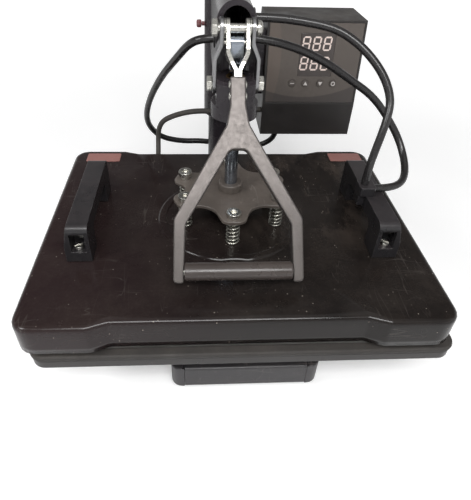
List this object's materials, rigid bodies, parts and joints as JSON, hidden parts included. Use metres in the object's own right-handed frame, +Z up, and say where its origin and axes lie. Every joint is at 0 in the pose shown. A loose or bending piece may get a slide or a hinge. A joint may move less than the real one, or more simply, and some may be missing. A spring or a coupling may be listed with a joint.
{
  "type": "swing-away heat press",
  "caption": "Table-top swing-away heat press: forked handle and toggle ram press a spring-hung heated platen onto a padded plate, with a timer box on the arm.",
  "frame": {"origin": "on the table, under the middle of the press without its free cables; the ram's axis stands at X -0.00425, Y -0.0385", "axes": "X to the right, Y to the back, Z up, seen by the person at the handle"},
  "size_m": [0.4084, 0.416, 0.352],
  "materials": {
    "frame_charcoal": "satin",
    "black_rubber": "matte",
    "zinc": "bright zinc",
    "grey_zinc": "dull zinc",
    "spring_steel": "drawn wire",
    "bright_steel": "ground",
    "bronze": "plain bearing",
    "black_paint": "satin",
    "cover_black": "gloss, dusty",
    "alloy": "machined",
    "black_alloy": "black coated",
    "silicone": "matte sponge",
    "element_steel": "oxidised",
    "insulation": "felted",
    "fork_grey": "textured powder coat",
    "grip_dark": "gloss",
    "star_brown": "dull",
    "moulded_black": "fine grain",
    "shell_black": "textured, dusty",
    "panel_dark": "printed film",
    "window_dark": "gloss",
    "board_green": "lacquered",
    "button_black": "satin",
    "switch_black": "gloss",
    "inlet_black": "moulded",
    "knob_red": "worn",
    "cable_black": "gloss",
    "braid_grey": "wrapped braid"
  },
  "bodies": {
    "base": {"base_front_rail": "frame_charcoal", "base_corner_caps": "frame_charcoal", "base_side_rails": "frame_charcoal", "base_rear_rail": "frame_charcoal", "rubber_feet": "black_rubber", "platen_stand": "frame_charcoal", "post_flange": "frame_charcoal", "base_bolts": "zinc", "post": "bright_steel", "post_collar": "black_paint", "lower_platen": "black_alloy", "silicone_pad": "silicone"},
    "arm": {"swing_sleeve": "black_paint", "sleeve_cap": "black_paint", "plain_bushes": "bronze", "arm_housing": "black_paint", "ram_sleeve": "black_paint", "cable_grommets": "black_rubber", "pivot_brackets": "grey_zinc", "bracket_bolts": "zinc", "pivot_bolt": "zinc", "pivot_nut": "zinc", "pivot_washers": "zinc", "controller_bracket": "black_paint", "controller_shell": "shell_black", "controller_panel": "panel_dark", "display_window": "window_dark", "control_board": "board_green", "power_inlet": "inlet_black", "fuse_holder": "inlet_black", "lock_screw": "knob_red", "heater_cable": "cable_black", "return_cable": "cable_black", "sensor_cable": "braid_grey"},
    "handle": {"handle_fork": "fork_grey", "pivot_straps": "zinc", "strap_rivets": "zinc", "grip_rod": "zinc", "handle_grip": "grip_dark", "crank_pin": "zinc"},
    "link": {"toggle_link": "bright_steel"},
    "ram": {"ram_rod": "bright_steel", "ram_pin": "zinc", "ram_nuts": "zinc", "star_plate": "star_brown", "suspension_springs": "spring_steel"},
    "platen": {"platen_cover": "cover_black", "heat_platen": "alloy", "heating_element": "element_steel", "insulation_sheet": "insulation", "suspension_bolts": "zinc", "rear_spacers": "zinc", "side_handles": "moulded_black", "side_handle_screws": "zinc", "cable_entries": "moulded_black"},
    "set_button": {"set_button": "button_black"},
    "raise_button": {"raise_button": "button_black"},
    "lower_button": {"lower_button": "button_black"},
    "start_button": {"start_button": "button_black"},
    "power_switch": {"power_switch": "switch_black"}
  },
  "joints": [
    {"name": "arm_swing", "type": "hinge", "parent": "base", "child": "arm", "pos_m": [-0.00425, 0.1475, 0.26], "axis": [0, 0, 1], "range_deg": [0, 90]},
    {"name": "handle_pivot", "type": "hinge", "parent": "arm", "child": "handle", "pos_m": [-0.00425, -0.0385, 0.3263], "axis": [-1, 0, 0], "range_deg": [0, 75]},
    {"name": "ram_slide", "type": "slide", "parent": "arm", "child": "ram", "axis": [0, 0, 1], "range_m": [0, 0.01214], "deforming": ["heater_cable", "return_cable", "sensor_cable"]},
    {"name": "link_pivot", "type": "hinge", "parent": "handle", "child": "link", "pos_m": [-0.00425, -0.0385, 0.3143], "axis": [1, 0, 0], "range_deg": [0, 107.6]},
    {"name": "platen_float", "type": "slide", "parent": "ram", "child": "platen", "axis": [0, 0, 1], "range_m": [0, 0.005], "stiffness_N_per_m": 12000, "springref_m": -0.008, "deforming": ["suspension_springs"]},
    {"name": "set_press", "type": "slide", "parent": "arm", "child": "set_button", "axis": [0, 0.993, -0.118], "range_m": [0, 0.0006], "stiffness_N_per_m": 300, "springref_m": -0.0005},
    {"name": "raise_press", "type": "slide", "parent": "arm", "child": "raise_button", "axis": [0, 0.993, -0.118], "range_m": [0, 0.0006], "stiffness_N_per_m": 300, "springref_m": -0.0005},
    {"name": "lower_press", "type": "slide", "parent": "arm", "child": "lower_button", "axis": [0, 0.993, -0.118], "range_m": [0, 0.0006], "stiffness_N_per_m": 300, "springref_m": -0.0005},
    {"name": "start_press", "type": "slide", "parent": "arm", "child": "start_button", "axis": [0, 0.993, -0.118], "range_m": [0, 0.0006], "stiffness_N_per_m": 300, "springref_m": -0.0005},
    {"name": "switch_rock", "type": "hinge", "parent": "arm", "child": "power_switch", "pos_m": [0.16975, 0.166, 0.18], "axis": [0, 1, 0], "range_deg": [0, 16]}
  ],
  "couplings": [
    {"joint": "ram_slide", "follows": "handle_pivot", "m_per_rad": 0.009271},
    {"joint": "link_pivot", "follows": "handle_pivot", "ratio": 1.433}
  ]
}
